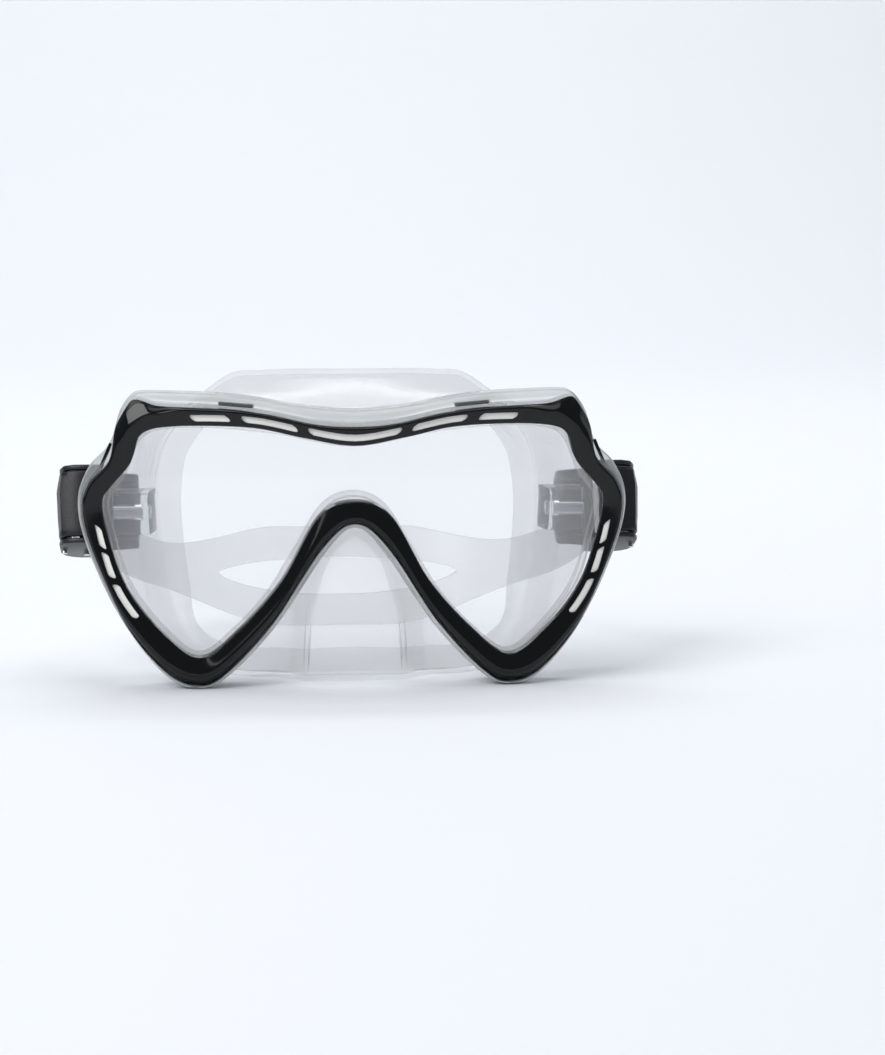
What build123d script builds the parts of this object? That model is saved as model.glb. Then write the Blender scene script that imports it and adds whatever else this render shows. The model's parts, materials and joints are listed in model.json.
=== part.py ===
from build123d import *
import math
import os

# Snorkel mask standing on its two lower frame tips. Millimetres.
# X runs across the face, Y from the front of the mask towards the wearer, Z up.
# Shapes are made with the front of the frame at y = 0, then centred front to back.

# ---- overall ----------------------------------------------------------------
FRONT_RADIUS = 520.0        # the front of the frame bows by this radius about Z
CLEAR = 0.15                # seat clearance between clamped pieces

# ---- depth stack of the frame ----------------------------------------------
RIM_SETBACK = 1.6           # clear rim behind the front of the black bezel
BEZEL_BACK = 9.0
LIP = 1.5                   # silicone lips each side of the lens edge
LENS_FRONT = BEZEL_BACK + LIP
LENS_THICK = 3.5
LENS_BACK = LENS_FRONT + LENS_THICK
FLANGE_FRONT = LENS_BACK + LIP
FRAME_BACK = 17.5
LENS_MARGIN = 1.5           # lens edge hidden under the bezel
NECK_WALL = 1.6
CUT = 40.0                  # over-length of cutting tools

# ---- outlines of the frame, right half, (x, z) --------------------------------
BEZEL_TOP = [(0, 81.2), (13.9, 83.0), (25.9, 86.0), (49.8, 88.2), (61.8, 87.9)]
BEZEL_SIDE = [(69.7, 91.4), (74.1, 81.2), (76.1, 71.6), (82.5, 64.4), (84.7, 56.3), (82.1, 44.3),
              (71.5, 20.3), (58.7, 4.8), (48.8, 0.9), (40.4, 4.8), (25.9, 20.5), (10.1, 44.3),
              (0, 51.8)]
OPENING_TOP = [(0, 76.3), (15.6, 78.8), (31.2, 82.0), (50.3, 82.7), (62.5, 81.8)]
OPENING_SIDE = [(66.6, 80.0), (69.5, 71.0), (76.0, 63.1), (78.2, 58.6), (76.6, 48.1),
                (70.6, 31.3), (59.8, 17.5), (48.5, 10.0), (37.0, 18.1), (23.3, 33.7),
                (11.4, 54.1), (0, 58.9)]
RIM_TOP = [(0, 86.7), (17.0, 88.2), (29.0, 90.4), (41.4, 92.0), (66.0, 93.1)]
RIM_CORNER = (69.4, 92.8)
RIM_SIDE = [RIM_CORNER, (73.3, 86.4), (76.1, 76.3), (82.4, 69.4), (86.0, 60.0), (84.5, 47.7),
            (76.7, 28.3), (66.3, 11.6), (59.3, 3.8), (52.2, 0)]
FOOT_INNER_X = 45.6
RIM_FLANK = [(FOOT_INNER_X, 0), (39.7, 3.7), (24.6, 19.6), (8.6, 43.2), (0, 50.3)]

# ---- bezel slots: bands that follow the opening, cut into lengths -------------
TOP_SLOT_BAND = (1.3, 3.4)          # from the opening to the slot's two long edges
SIDE_SLOT_BAND = (1.9, 4.3)
TOP_SLOTS_X = [(17.7, 36.1), (38.4, 51.5)]
TOP_SLOT_CENTRE_HALF = 15.4
SIDE_SLOTS_Z = [(44.1, 50.9), (34.5, 42.1), (21.5, 32.8)]
SIDE_SLOT_INNER_X = 60.0
TOP_SLOT_BOTTOM_Z = 70.0
SLOT_RECESS = 1.2

# ---- snap clips between bezel and rim: (x, z, length, slope) ------------------
CLIPS_RIGHT = [(36.5, 88.5, 11.0, 7.0), (76.6, 73.4, 10.0, -67.0), (74.7, 25.0, 9.0, 62.0),
               (22.5, 23.9, 10.0, -54.0)]
CLIP_WIDTH = 3.4
CLIP_FRONT = 2.6
CLIP_PLAY = 0.15

# ---- face skirt: sections from the frame to the face --------------------------
# each is (y, [(x, z) from the top centre to the bottom centre])
SKIRT_WALL = 2.3
SKIRT_FRONT = [(0, 82.5), (30, 87), (61, 88), (73.5, 79), (82, 61), (79.5, 42), (66, 15), (47, 4.2),
               (24, 3.2), (0, 3)]
SKIRT_SECTIONS = [
    (FRAME_BACK, SKIRT_FRONT), (20.0, SKIRT_FRONT),
    (24.5, [(0, 84.8), (30, 88), (55, 86.2), (64.5, 76), (68.5, 57), (67, 37), (58, 14),
            (44, 3.4), (23, 1.6), (0, 1.2)]),
    (34.0, [(0, 90), (27, 91.2), (50, 87.2), (61, 75), (65, 56), (63.8, 36), (56, 13.5),
            (42, 2.6), (22, 0.5), (0, 0.4)]),
    (46.0, [(0, 96.2), (25, 96.2), (47, 90.2), (59.5, 76), (62.8, 56), (61.8, 36), (55, 13),
            (41, 2.6), (22, 0.5), (0, 0.4)]),
    (66.0, [(0, 97.4), (25, 97.2), (47, 90.6), (58.5, 76), (61, 56), (60.4, 36), (54, 13),
            (40, 2.6), (22, 0.5), (0, 0.4)])]
FACE_RADIUS = 120.0         # the face side follows a cylinder of this radius
FACE_TILT = 13.0            # leaned back from the upper lip to the forehead
FACE_BASE_Y = 22.0          # face surface at the floor, on the centre line
SEAL_THICK = 1.8
SEAL_OPENING = [(0, 84.5), (28, 84.8), (46, 80.5), (54.5, 66), (55.2, 45), (54, 29), (48, 13.5),
                (36, 8.6), (18, 9.6), (0, 10.2)]
POCKET_WALL = 1.8
POCKET_SECTIONS = [
    (3.2, [(0, 36.0), (5.2, 30.5), (8.6, 22.5), (8.4, 14.5), (4.6, 10.0), (0, 9.4)]),
    (6.4, [(0, 44.2), (6.6, 37.4), (12.8, 25.4), (13.4, 12.4), (9.8, 3.6), (0, 2.6)]),
    (10.5, [(0, 47.2), (7.4, 40.4), (15.0, 26.6), (16.2, 12.0), (15.8, 1.4), (0, 0.4)]),
    (18.6, [(0, 48.6), (8.0, 41.6), (17.4, 26.8), (21.6, 12.6), (24.8, 1.4), (0, 0.4)])]

# ---- buckles, modelled with the strap level, then tipped about the pivot axis ----
PIVOT_Y = 42.0
PIVOT_Z = 51.5
BUCKLE_HALF_HEIGHT = 14.0
CHEEK = 2.8                 # thickness of the upper and lower cheeks
CHEEK_GAP = BUCKLE_HALF_HEIGHT - CHEEK
CHEEK_INNER_X = 67.6
YOKE_HALF_DEPTH = 6.5
WEB_X = 76.2
WEB_THICK = 3.0
WEB_OUTER_X = WEB_X + WEB_THICK
CHEEK_OUTER_X = 93.4
CHEEK_FRONT_Y = 33.0
CHEEK_REAR_Y = 53.0
CHEEK_ROUND = 3.5
PIN_FIT = 0.02              # radial gap of a fixed pin in its seat
RUN_FIT = 0.05              # radial play of a turning piece on its pin
END_PLAY = 0.3              # gap at each end of a moving piece
ANCHOR_HALF_DEPTH = 6.5
ANCHOR_HALF_HEIGHT = 7.0
ANCHOR_INNER_X = 55.0
ANCHOR_OUTER_X = WEB_X - END_PLAY
ANCHOR_ROUND = 2.0
SWIVEL_R = 2.6
SWIVEL_INNER_X = 66.5
SWIVEL_HEAD_R = 4.2
SWIVEL_HEAD = 1.0
ROLLER_X = 84.5
ROLLER_Y = 43.4
ROLLER_R = 2.4
ROLLER_PIN_R = 1.0
LEVER_PIN_X = 91.5
LEVER_PIN_Y = 41.0
LEVER_PIN_R = 0.8
LEVER_HUB_R = 2.0
LEVER_HALF_HEIGHT = 9.4
LEVER_BACK = [(90.4, 33.0), (90.0, 38.0), (90.2, 44.0), (90.0, 49.0), (89.5, 50.6), (90.4, 52.4)]
LEVER_FACE = [(91.6, 52.6), (93.2, 47.0), (93.6, 41.0), (94.0, 36.0), (93.2, 32.6)]
SPRING_WIRE_R = 0.3
SPRING_COIL_R = 1.3
SPRING_TURNS = 3
SPRING_ROOM_R = 2.6
SPRING_ROOM_HALF = 1.6

# ---- strap ---------------------------------------------------------------------
STRAP_THICK = 1.8
STRAP_GAP = 0.3             # strap to roller
STRAP_END_HALF = 8.0        # half height between the buckle cheeks
STRAP_BACK_HALF = 18.0      # half height at the back, where it is split in two
STRAP_REACH = 92.0          # pivot axis to the back of the loop, strap level
STRAP_RUN_END_Y = 56.0
TAIL_END_Y = 68.0
STRAP_PATH = [(79.4, 72.0), (73.0, 95.0), (60.5, 114.5), (43.0, 127.0), (22.0, 132.0)]
SPREAD_START_Y = 98.0       # the band widens between these two
SPREAD_END_Y = 124.0
EYE_HALF_LENGTH = 42.0
EYE_HALF_HEIGHT = 6.8


def mirrored(points):
    """The same points on the other side, in reverse order."""
    return [(-x, z) for x, z in reversed(points)]


def inset(points, distance):
    """Each point of a half outline moved inwards, square to the outline there."""
    count = len(points)
    moved = []
    for i, (x, z) in enumerate(points):
        before = points[i - 1] if i else (-points[1][0], points[1][1])
        after = points[i + 1] if i < count - 1 else (-points[-2][0], points[-2][1])
        along_x = after[0] - before[0]
        along_z = after[1] - before[1]
        size = math.hypot(along_x, along_z)
        moved.append((x + distance * along_z / size, z - distance * along_x / size))
    return moved


def frame_face(top, side, grow):
    """A frame outline: bowed top, two corners, and sides that meet at the nose arch."""
    points = inset(top + side, -grow)
    top, side = points[:len(top)], points[len(top):]
    edges = [Spline(mirrored(top[1:]) + top)]
    edges.append(Line(top[-1], side[0]))
    edges.append(Line(mirrored([side[0]])[0], mirrored([top[-1]])[0]))
    edges.append(Spline(side + mirrored(side[:-1])))
    return make_face(edges)


def rim_face():
    """The clear rim's outline, with a flat foot at each lower tip."""
    edges = [Spline(mirrored(RIM_TOP[1:]) + RIM_TOP)]
    for start, end in ((RIM_TOP[-1], RIM_CORNER), (RIM_SIDE[-1], RIM_FLANK[0])):
        edges.append(Line(start, end))
        edges.append(Line(mirrored([end])[0], mirrored([start])[0]))
    edges += [Spline(RIM_SIDE), Spline(mirrored(RIM_SIDE))]
    edges.append(Spline(RIM_FLANK + mirrored(RIM_FLANK[:-1])))
    return make_face(edges)


def slab(face, y_front, y_back):
    """The face's outline as a straight prism between two depths."""
    return Pos(0, y_front, 0) * extrude(Plane.XZ * face, amount=y_front - y_back)


def bow(setback):
    """Everything behind the bowed front, set back from the bezel's own front."""
    tall = 3 * CUT
    return Pos(0, FRONT_RADIUS, tall / 2) * Cylinder(FRONT_RADIUS - setback, 2 * tall)


def bar_at(x, z, length, slope, width, y_front, y_back):
    """A rounded bar lying along the rim: its length follows the slope in the front view."""
    shape = RectangleRounded(length, width, width / 4)
    return slab(Pos(x, z) * Rot(0, 0, slope) * shape, y_front, y_back)


def span(x0, x1, z0, z1):
    """A rectangle between two corners."""
    return Pos((x0 + x1) / 2, (z0 + z1) / 2) * Rectangle(x1 - x0, z1 - z0)


def slots(shrink, y_front, y_back):
    """The eleven bezel slots as bars, each edge moved in by the shrink."""
    half = TOP_SLOT_CENTRE_HALF - shrink
    top_windows = [span(-half, half, TOP_SLOT_BOTTOM_Z, 3 * CUT)]
    for x0, x1 in TOP_SLOTS_X:
        top_windows.append(span(x0 + shrink, x1 - shrink, TOP_SLOT_BOTTOM_Z, 3 * CUT))
        top_windows.append(span(shrink - x1, -x0 - shrink, TOP_SLOT_BOTTOM_Z, 3 * CUT))
    side_windows = []
    for z0, z1 in SIDE_SLOTS_Z:
        side_windows.append(span(SIDE_SLOT_INNER_X, 3 * CUT, z0 + shrink, z1 - shrink))
        side_windows.append(span(-3 * CUT, -SIDE_SLOT_INNER_X, z0 + shrink, z1 - shrink))
    bars = []
    for (low, high), windows in ((TOP_SLOT_BAND, top_windows), (SIDE_SLOT_BAND, side_windows)):
        band = opening_face(high - shrink) - opening_face(low + shrink)
        bars += [slab(band & window, y_front, y_back) for window in windows]
    return bars


def clips(play):
    """The eight snap clips, or with play the windows that they sit in."""
    y_back = BEZEL_BACK - CLIP_PLAY + play
    bars = []
    for x, z, length, slope in CLIPS_RIGHT:
        for side in (1, -1):
            bars.append(bar_at(side * x, z, length + 2 * play, side * slope,
                               CLIP_WIDTH + 2 * play, 0, y_back))
    return bars


def bezel_face(grow):
    """The bezel's outer outline, grown outwards."""
    return frame_face(BEZEL_TOP, BEZEL_SIDE, grow)


def opening_face(grow):
    """The opening in the bezel, grown outwards."""
    return frame_face(OPENING_TOP, OPENING_SIDE, grow)


def front_bezel():
    """Black bezel: bowed ring with slots, and snap clips on its outer edge."""
    ring = slab(bezel_face(0), 0, BEZEL_BACK) - slab(opening_face(0), -CUT, CUT)
    ring = ring & bow(0)
    clip_zone = bow(CLIP_FRONT)
    for hook in clips(0):
        ring = ring + (hook & clip_zone)
    for slot in slots(0, -CUT, CUT):
        ring = ring - slot
    return ring


def clear_frame():
    """Clear rear frame: rim around the bezel and a flange behind the lens and skirt lip."""
    frame = slab(rim_face(), 0, FRAME_BACK) & bow(RIM_SETBACK)
    frame = frame - slab(bezel_face(CLEAR), -CUT, FLANGE_FRONT)
    frame = frame - slab(opening_face(NECK_WALL + 2 * CLEAR), -CUT, CUT)
    for window in clips(CLIP_PLAY):
        frame = frame - Pos(0, -CLIP_PLAY, 0) * window
    return frame


def lens():
    """Flat tempered glass."""
    return slab(opening_face(LENS_MARGIN), LENS_FRONT, LENS_BACK)


def section_face(points):
    """A closed outline, symmetric about the centre line."""
    return make_face(Polyline(points + mirrored(points[1:-1]), close=True))


def between(sections, y):
    """The half outline at depth y, between the two sections on either side of it."""
    for (y0, first), (y1, second) in zip(sections, sections[1:]):
        if y0 <= y <= y1:
            t = (y - y0) / (y1 - y0)
            return [(a + t * (c - a), b + t * (d - b)) for (a, b), (c, d) in zip(first, second)]
    return sections[-1][1]


def lofted(sections, wall, y_start):
    """Solid through the sections; with a wall it is the hollow inside them."""
    chosen = [(y_start, between(sections, y_start))]
    chosen += [(y, points) for y, points in sections if y > y_start]
    faces = []
    for y, points in chosen:
        outline = section_face(inset(points, wall) if wall else points)
        faces.append(Pos(0, y, 0) * (Plane.XZ * outline))
    return loft(faces, ruled=True)


def head(extra):
    """The wearer's face as a leaned cylinder, grown by the extra thickness."""
    place = Pos(0, FACE_BASE_Y, 0) * Rot(-FACE_TILT, 0, 0) * Pos(0, FACE_RADIUS, 0)
    return place * Cylinder(FACE_RADIUS + extra, 6 * CUT)


def face_skirt():
    """Silicone skirt: lips around the lens edge, side walls, nose pocket and face seal."""
    y_first = SKIRT_SECTIONS[0][0]
    pocket_first = POCKET_SECTIONS[0][0]
    outer = lofted(SKIRT_SECTIONS, 0, y_first) + lofted(POCKET_SECTIONS, 0, pocket_first)
    deeper = [(y + SKIRT_WALL, points) for y, points in SKIRT_SECTIONS]
    hollow = lofted(deeper, SKIRT_WALL, y_first + SKIRT_WALL)
    pocket_deep = POCKET_SECTIONS + [(26.0, POCKET_SECTIONS[-1][1])]
    hollow = hollow + lofted(pocket_deep, POCKET_WALL, pocket_first + POCKET_WALL)
    outer = outer - head(0)
    seal = (outer & head(SEAL_THICK)) - slab(section_face(SEAL_OPENING), -CUT, 3 * CUT)
    body = (outer - hollow) + seal

    neck = slab(bezel_face(-CLEAR), BEZEL_BACK, FLANGE_FRONT)
    neck = neck + slab(opening_face(NECK_WALL), FLANGE_FRONT, y_first + SKIRT_WALL / 2)
    body = body + neck
    for pad in slots(CLEAR, 0, BEZEL_BACK + CLEAR):
        body = body + (pad & bow(SLOT_RECESS))
    body = body - slab(opening_face(NECK_WALL / 2), BEZEL_BACK - CLEAR, LENS_FRONT)
    body = body - slab(opening_face(LENS_MARGIN + CLEAR), LENS_FRONT, LENS_BACK)
    return body - slab(opening_face(0), LENS_BACK, y_first + SKIRT_WALL + CLEAR)


def tip(solid):
    """Tip a level buckle or strap piece about the pivot axis until the strap rests."""
    place = Pos(0, PIVOT_Y, PIVOT_Z) * Rot(-STRAP_DROOP, 0, 0) * Pos(0, -PIVOT_Y, -PIVOT_Z)
    return place * solid


def cross_rod(radius, x0, x1):
    """A round bar along the pivot axis."""
    rod = Rot(0, 90, 0) * Cylinder(radius, x1 - x0)
    return Pos((x0 + x1) / 2, PIVOT_Y, PIVOT_Z) * rod


def upright_rod(x, y, radius, half_height):
    """A round bar across the buckle, square to the pivot axis."""
    return Pos(x, y, PIVOT_Z) * Cylinder(radius, 2 * half_height)


def block(x0, x1, y0, y1, half_height):
    """A box centred on the pivot height."""
    size = Box(x1 - x0, y1 - y0, 2 * half_height)
    return Pos((x0 + x1) / 2, (y0 + y1) / 2, PIVOT_Z) * size


def buckle_anchor():
    """Clear boss on the side wall of the skirt, bored for the swivel pin."""
    boss = Box(ANCHOR_OUTER_X - ANCHOR_INNER_X, 2 * ANCHOR_HALF_DEPTH, 2 * ANCHOR_HALF_HEIGHT)
    boss = fillet(boss.edges().filter_by(Axis.X), ANCHOR_ROUND)
    boss = Pos((ANCHOR_INNER_X + ANCHOR_OUTER_X) / 2, PIVOT_Y, PIVOT_Z) * boss
    boss = boss - lofted(SKIRT_SECTIONS, 0, SKIRT_SECTIONS[0][0])
    return boss - cross_rod(SWIVEL_R + PIN_FIT, SWIVEL_INNER_X - PIN_FIT, ANCHOR_OUTER_X + 1)


def swivel_pin():
    """Steel pin from the anchor through the buckle's web, with a flat head."""
    outer = WEB_OUTER_X - RUN_FIT
    return (cross_rod(SWIVEL_R, SWIVEL_INNER_X, outer)
            + cross_rod(SWIVEL_HEAD_R, outer - SWIVEL_HEAD, outer))


def buckle_body():
    """Buckle: a fork around the anchor, a web on the swivel pin, and two cheeks."""
    fork = cross_rod(BUCKLE_HALF_HEIGHT, CHEEK_INNER_X, WEB_X)
    fork = fork - cross_rod(CHEEK_GAP, CHEEK_INNER_X - 1, WEB_X)
    low_y = PIVOT_Y - YOKE_HALF_DEPTH
    high_y = PIVOT_Y + YOKE_HALF_DEPTH
    fork = fork & block(CHEEK_INNER_X, WEB_X, low_y, high_y, BUCKLE_HALF_HEIGHT)
    web = block(WEB_X, WEB_OUTER_X, low_y, high_y, BUCKLE_HALF_HEIGHT)
    cheeks = block(WEB_X, CHEEK_OUTER_X, CHEEK_FRONT_Y, CHEEK_REAR_Y, BUCKLE_HALF_HEIGHT)
    cheeks = fillet(cheeks.edges().filter_by(Axis.Z), CHEEK_ROUND)
    cheeks = cheeks - block(0, 2 * CHEEK_OUTER_X, 0, 3 * CUT, CHEEK_GAP)
    body = fork + web + cheeks
    body = body - cross_rod(SWIVEL_R + RUN_FIT, WEB_X - 1, WEB_OUTER_X + 1)
    recess = WEB_OUTER_X - SWIVEL_HEAD - 2 * RUN_FIT
    body = body - cross_rod(SWIVEL_HEAD_R + RUN_FIT, recess, WEB_OUTER_X + 1)
    tall = 2 * BUCKLE_HALF_HEIGHT
    body = body - upright_rod(ROLLER_X, ROLLER_Y, ROLLER_PIN_R + PIN_FIT, tall)
    return body - upright_rod(LEVER_PIN_X, LEVER_PIN_Y, LEVER_PIN_R + PIN_FIT, tall)


def roller_pin():
    """Steel pin that carries the strap roller."""
    return upright_rod(ROLLER_X, ROLLER_Y, ROLLER_PIN_R, BUCKLE_HALF_HEIGHT)


def strap_roller():
    """Plain roller that the strap turns around."""
    half = CHEEK_GAP - END_PLAY
    roller = upright_rod(ROLLER_X, ROLLER_Y, ROLLER_R, half)
    return roller - upright_rod(ROLLER_X, ROLLER_Y, ROLLER_PIN_R + RUN_FIT, half)


def lever_pin():
    """Steel pin that carries the release lever."""
    return upright_rod(LEVER_PIN_X, LEVER_PIN_Y, LEVER_PIN_R, BUCKLE_HALF_HEIGHT)


def release_lever():
    """Release lever: thumb pad in front of its pin, strap pawl behind it."""
    edges = [Polyline(LEVER_BACK), Line(LEVER_BACK[-1], LEVER_FACE[0]), Spline(LEVER_FACE),
             Line(LEVER_FACE[-1], LEVER_BACK[0])]
    plate = extrude(make_face(edges), amount=2 * LEVER_HALF_HEIGHT)
    lever = Pos(0, 0, PIVOT_Z - LEVER_HALF_HEIGHT) * plate
    lever = lever + upright_rod(LEVER_PIN_X, LEVER_PIN_Y, LEVER_HUB_R, LEVER_HALF_HEIGHT)
    lever = lever - upright_rod(LEVER_PIN_X, LEVER_PIN_Y, SPRING_ROOM_R, SPRING_ROOM_HALF)
    return lever - upright_rod(LEVER_PIN_X, LEVER_PIN_Y, LEVER_PIN_R + RUN_FIT, CUT)


def lever_spring():
    """Coil of the return spring, around the lever pin."""
    pitch = 2 * SPRING_WIRE_R + RUN_FIT
    helix = Helix(pitch, SPRING_TURNS * pitch, SPRING_COIL_R)
    wire = Plane(origin=helix @ 0, z_dir=helix % 0) * Circle(SPRING_WIRE_R)
    coil = sweep(wire, path=helix)
    return Pos(LEVER_PIN_X, LEVER_PIN_Y, PIVOT_Z - SPRING_TURNS * pitch / 2) * coil


def strap_centre_line():
    """The loop in plan, from the right buckle round the back to the left one."""
    run_x = ROLLER_X - ROLLER_R - STRAP_GAP - STRAP_THICK / 2
    back_y = PIVOT_Y + STRAP_REACH - STRAP_THICK / 2
    right = [(run_x, STRAP_RUN_END_Y)] + STRAP_PATH
    return right + [(0, back_y)] + mirrored(right)


def shifted(points, distance):
    """Points moved sideways off the line that they make."""
    moved = []
    for i, (x, y) in enumerate(points):
        before = points[max(i - 1, 0)]
        after = points[min(i + 1, len(points) - 1)]
        if i in (0, len(points) - 1):
            direction = (0, 1 if i == 0 else -1)
        else:
            direction = (after[0] - before[0], after[1] - before[1])
        size = math.hypot(*direction)
        moved.append((x + distance * direction[1] / size, y - distance * direction[0] / size))
    return moved


def strap_end():
    """One end of the strap: run past the roller, turn round it, and the free tail."""
    inner_x = ROLLER_X - ROLLER_R - STRAP_GAP - STRAP_THICK
    tail_x = ROLLER_X + ROLLER_R + STRAP_GAP
    turn = upright_rod(ROLLER_X, ROLLER_Y, ROLLER_R + STRAP_GAP + STRAP_THICK, STRAP_END_HALF)
    turn = turn - upright_rod(ROLLER_X, ROLLER_Y, ROLLER_R + STRAP_GAP, STRAP_END_HALF)
    turn = turn - block(inner_x - 1, CHEEK_OUTER_X, ROLLER_Y, 2 * ROLLER_Y, STRAP_END_HALF)
    run = block(inner_x, inner_x + STRAP_THICK, ROLLER_Y, STRAP_RUN_END_Y, STRAP_END_HALF)
    tail = block(tail_x, tail_x + STRAP_THICK, ROLLER_Y, TAIL_END_Y, STRAP_END_HALF)
    return turn + run + tail


def head_strap():
    """Silicone strap: level band round the loop, split in two at the back by the eye."""
    line = strap_centre_line()
    outer = shifted(line, STRAP_THICK / 2)
    inner = shifted(line, -STRAP_THICK / 2)
    ends = [(0, 1), (0, -1)]
    edges = [Spline(outer, tangents=ends), Spline(inner, tangents=ends),
             Line(outer[0], inner[0]), Line(outer[-1], inner[-1])]
    band = extrude(make_face(edges), amount=2 * STRAP_BACK_HALF)
    band = Pos(0, 0, PIVOT_Z - STRAP_BACK_HALF) * band
    far_y = PIVOT_Y + STRAP_REACH + CUT
    half = [(STRAP_RUN_END_Y, STRAP_END_HALF), (SPREAD_START_Y, STRAP_END_HALF),
            (SPREAD_END_Y, STRAP_BACK_HALF), (far_y, STRAP_BACK_HALF)]
    side = half + [(y, -z) for y, z in reversed(half)]
    silhouette = extrude(Plane.YZ * make_face(Polyline(side, close=True)), amount=3 * CUT,
                         both=True)
    band = band & (Pos(0, 0, PIVOT_Z) * silhouette)
    arc = [(-EYE_HALF_LENGTH, 0), (0, EYE_HALF_HEIGHT), (EYE_HALF_LENGTH, 0)]
    low = [(x, -z) for x, z in arc]
    rise = [(1, 1), (1, -1)]
    fall = [(1, -1), (1, 1)]
    eye = make_face([Spline(arc, tangents=rise), Spline(low, tangents=fall)])
    band = band - (Pos(0, 0, PIVOT_Z) * slab(eye, SPREAD_START_Y, far_y))
    end = strap_end()
    return band + end + mirror(end, about=Plane.YZ)


STRAP_CORNER = math.hypot(STRAP_REACH, STRAP_BACK_HALF)
STRAP_DROOP = math.degrees(math.asin(PIVOT_Z / STRAP_CORNER)
                           - math.atan2(STRAP_BACK_HALF, STRAP_REACH))
STRAP_BACK_Y = (PIVOT_Y + STRAP_REACH * math.cos(math.radians(STRAP_DROOP))
                + STRAP_BACK_HALF * math.sin(math.radians(STRAP_DROOP)))
CENTRE_Y = STRAP_BACK_Y / 2


def export(name, solid):
    """Write one sub-part, centred front to back."""
    export_step(Pos(0, -CENTRE_Y, 0) * solid, "parts/" + name + ".step")


def export_pair(name, solid):
    """Write the right-hand piece and its mirror image on the left."""
    export(name + "_right", solid)
    export(name + "_left", mirror(solid, about=Plane.YZ))


os.makedirs("parts", exist_ok=True)
export("front_bezel", front_bezel())
export("clear_frame", clear_frame())
export("lens", lens())
export("face_skirt", face_skirt())
export("head_strap", tip(head_strap()))
export_pair("buckle_anchor", buckle_anchor())
export_pair("swivel_pin", swivel_pin())
for piece in (buckle_body, roller_pin, strap_roller, lever_pin, release_lever, lever_spring):
    export_pair(piece.__name__, tip(piece()))
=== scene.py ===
import json
import math

import bmesh
import bpy
from mathutils import Matrix, Vector


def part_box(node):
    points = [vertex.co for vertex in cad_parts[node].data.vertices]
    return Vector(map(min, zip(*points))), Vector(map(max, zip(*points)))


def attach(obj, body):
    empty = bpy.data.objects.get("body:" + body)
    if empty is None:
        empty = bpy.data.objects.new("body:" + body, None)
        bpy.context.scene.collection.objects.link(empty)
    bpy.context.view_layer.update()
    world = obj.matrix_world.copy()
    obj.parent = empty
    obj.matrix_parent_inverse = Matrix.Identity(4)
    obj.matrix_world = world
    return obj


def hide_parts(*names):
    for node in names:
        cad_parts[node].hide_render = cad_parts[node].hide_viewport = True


# Snorkel mask. Outlines and depths are in millimetres, measured like the CAD model:
# x across, y back from the front of the bezel, z up from the floor.
MM = 0.001

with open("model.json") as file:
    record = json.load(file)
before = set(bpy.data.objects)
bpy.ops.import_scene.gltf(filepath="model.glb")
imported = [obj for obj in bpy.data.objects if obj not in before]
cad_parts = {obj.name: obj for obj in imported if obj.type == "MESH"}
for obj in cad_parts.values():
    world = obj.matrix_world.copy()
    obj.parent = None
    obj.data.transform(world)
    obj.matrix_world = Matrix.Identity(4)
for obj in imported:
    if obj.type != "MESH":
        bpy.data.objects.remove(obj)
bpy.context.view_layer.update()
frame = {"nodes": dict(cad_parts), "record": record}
FRONT_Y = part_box("front_bezel")[0].y          # y of the front of the frame
PIVOT = Vector(next(j for j in frame["record"]["behaviour"]["joints"]
                    if j["name"] == "strap_swing")["pos_m"])
ROLL_AXIS = next(j for j in frame["record"]["behaviour"]["joints"]
                 if j["name"] == "roller_spin_right")["axis"]
DROOP = math.atan2(ROLL_AXIS[1], ROLL_AXIS[2])  # the strap hangs this far below level

# ---- outlines, right half ---------------------------------------------------------
BEZEL_TOP = [(0, 82.2), (7.0, 82.4), (14.4, 83.4), (25.9, 86.0), (38.0, 87.7), (49.8, 88.3),
             (60.3, 88.8), (64.4, 90.0), (68.4, 91.5)]
BEZEL_SIDE = [(68.4, 91.5), (71.7, 86.4), (74.1, 81.2), (76.1, 71.6), (82.5, 64.4), (84.7, 56.3),
              (82.1, 44.3), (71.5, 20.3), (58.7, 4.8), (48.8, 0.9), (40.4, 4.8), (25.9, 20.5),
              (10.1, 44.3), (0, 51.8)]
OPENING_TOP = [(0, 76.3), (15.6, 78.8), (31.2, 82.0), (50.3, 82.7), (62.5, 81.8), (66.6, 80.0)]
OPENING_SIDE = [(66.6, 80.0), (69.5, 71.0), (76.0, 63.1), (78.2, 58.6), (76.6, 48.1), (70.6, 31.3),
                (59.8, 17.5), (48.5, 10.0), (37.0, 18.1), (23.3, 33.7), (11.4, 54.1), (0, 58.9)]
RIM_TOP = [(0, 86.7), (17.0, 88.2), (29.0, 90.4), (41.4, 92.0), (60.0, 92.8), (68.6, 92.9)]
RIM_SIDE = [(68.6, 92.9), (72.6, 86.8), (76.1, 76.3), (82.4, 69.4), (86.0, 60.0), (84.5, 47.7),
            (76.7, 28.3), (66.3, 11.6), (57.0, 2.0), (48.8, 0.0), (39.7, 3.7), (24.6, 19.6),
            (8.6, 43.2), (0, 50.3)]
TOP_COUNT, SIDE_COUNT, FLANK_COUNT = 56, 96, 64   # samples in each stretch of a half loop
CORNER_REACH = 4               # samples each side of a top corner that rounding moves
BEZEL_ROUNDS, OPENING_ROUNDS, RIM_ROUNDS = 3, 4, 6   # how often each loop's corners are rounded
FRONT_RADIUS = 520.0
RIM_SETBACK = 1.6
BEZEL_BACK = 9.0
FLANGE_FRONT = 15.5
FRAME_BACK = 17.5


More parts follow.
